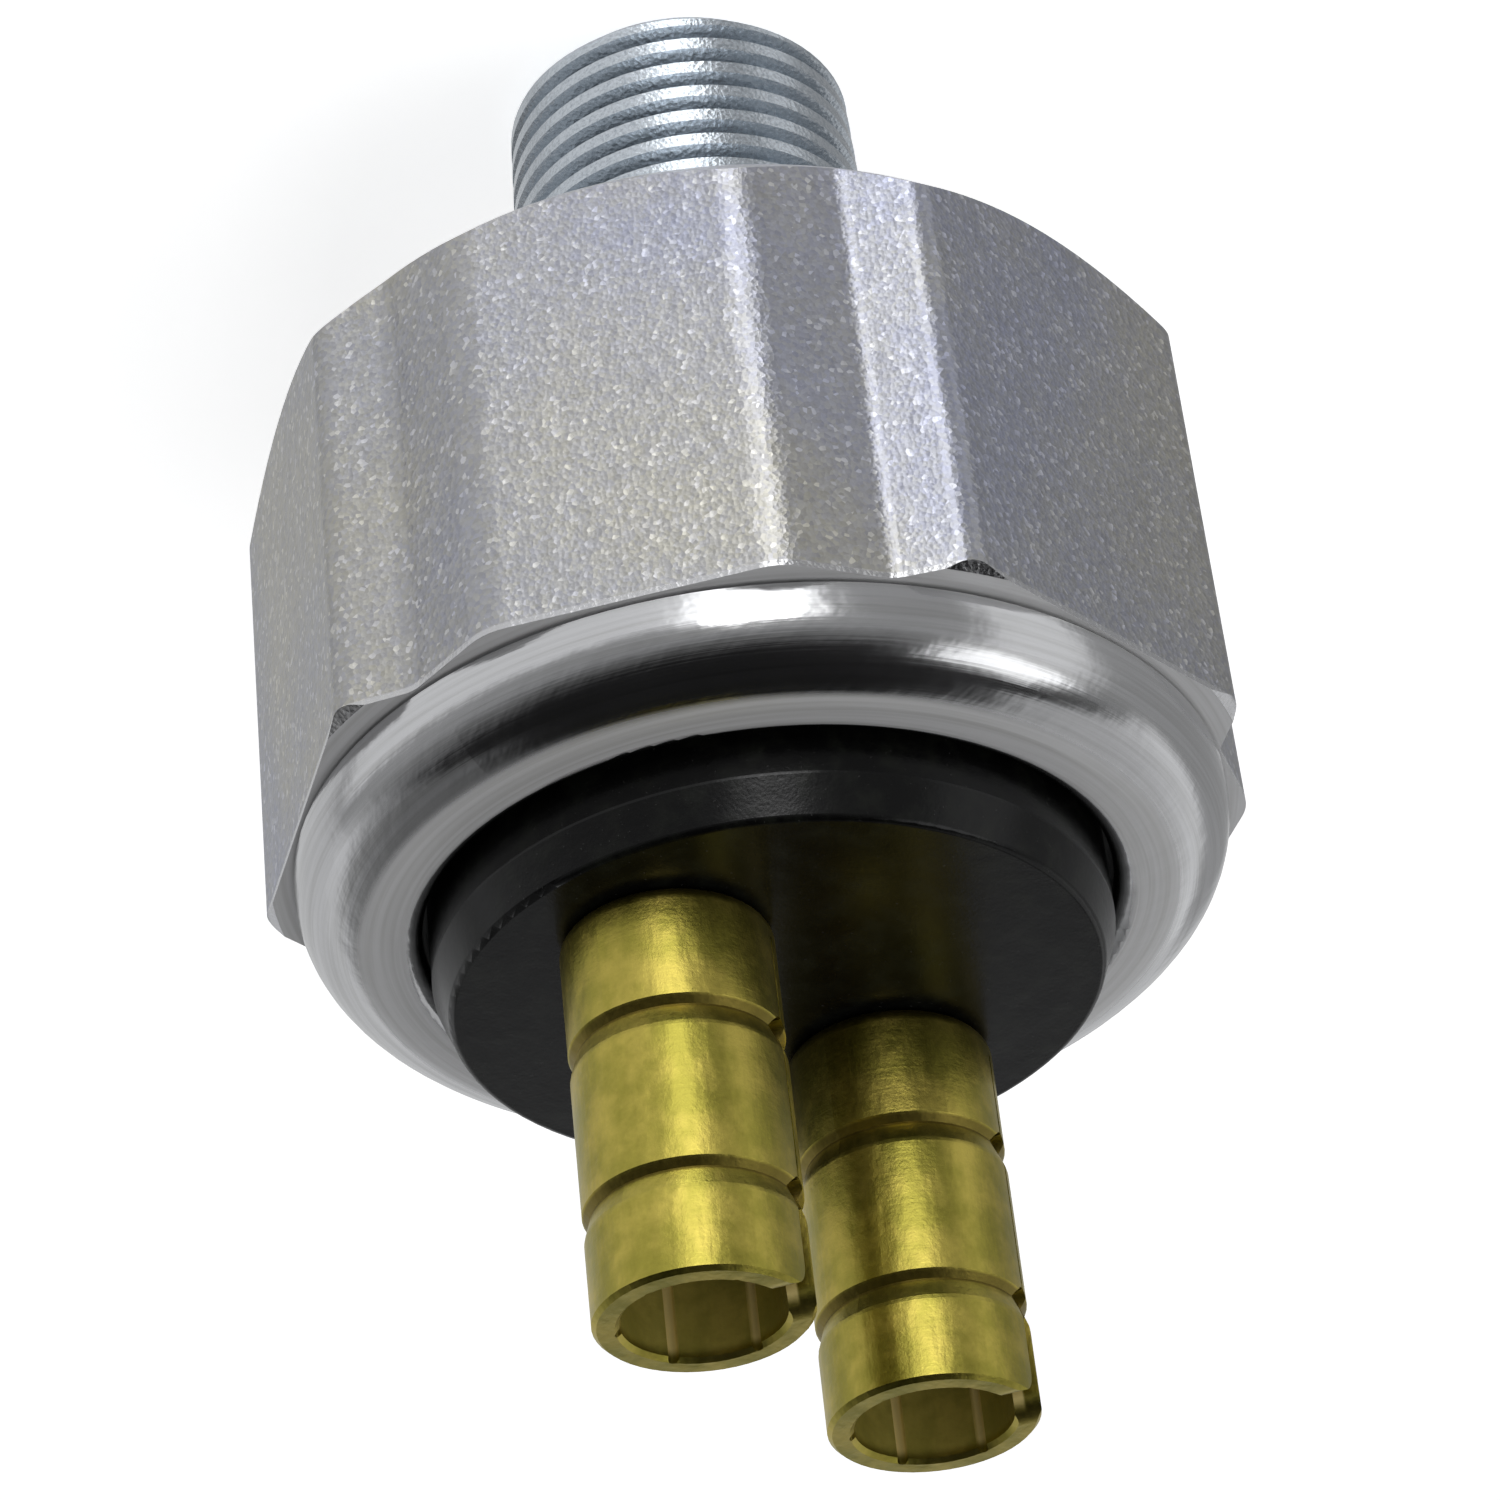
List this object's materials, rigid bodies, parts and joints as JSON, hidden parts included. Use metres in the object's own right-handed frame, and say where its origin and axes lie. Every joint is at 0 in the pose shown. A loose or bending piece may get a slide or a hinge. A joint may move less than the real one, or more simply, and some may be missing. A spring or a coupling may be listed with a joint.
{
  "type": "pressure switch",
  "caption": "Hydraulic pressure switch: hex steel body with a tapered threaded stem, a rolled collar, a black insulator and two brass bullet sockets.",
  "frame": {"origin": "centre of the threaded stem's end face", "axes": "+Z along the switch from the stem to the open ends of the sockets; the two sockets stand on the X axis"},
  "size_m": [0.0269, 0.0259, 0.0422],
  "materials": {
    "zinc_plated_steel": "satin zinc plate",
    "bare_steel": "plain",
    "black_phenolic": "gloss moulded",
    "rolled_brass": "rolled sheet",
    "rivet_brass": "plain",
    "silvered_contact": "silver plate",
    "black_rubber": "matt",
    "white_nylon": "matt",
    "grey_fibre": "matt"
  },
  "bodies": {
    "switch_body": {"housing": "zinc_plated_steel", "diaphragm": "black_rubber", "clamp_ring": "bare_steel", "guide_plate": "white_nylon", "contact_liner": "grey_fibre", "rim_gasket": "black_rubber", "insulator": "black_phenolic", "return_spring": "bare_steel", "socket_left": "rolled_brass", "socket_right": "rolled_brass", "socket_rivet_left": "rivet_brass", "socket_rivet_right": "rivet_brass", "rivet_washer_left": "rivet_brass", "rivet_washer_right": "rivet_brass", "contact_tip_left": "silvered_contact", "contact_tip_right": "silvered_contact"},
    "contact_carrier": {"pressure_plate": "bare_steel", "piston": "white_nylon", "contact_disc": "silvered_contact", "disc_retainer": "bare_steel"}
  },
  "joints": [
    {"name": "contact_travel", "type": "slide", "parent": "switch_body", "child": "contact_carrier", "axis": [0, 0, 1], "range_m": [0, 0.0008], "stiffness_N_per_m": 3800, "springref_m": -0.0025, "deforming": ["return_spring"]}
  ]
}
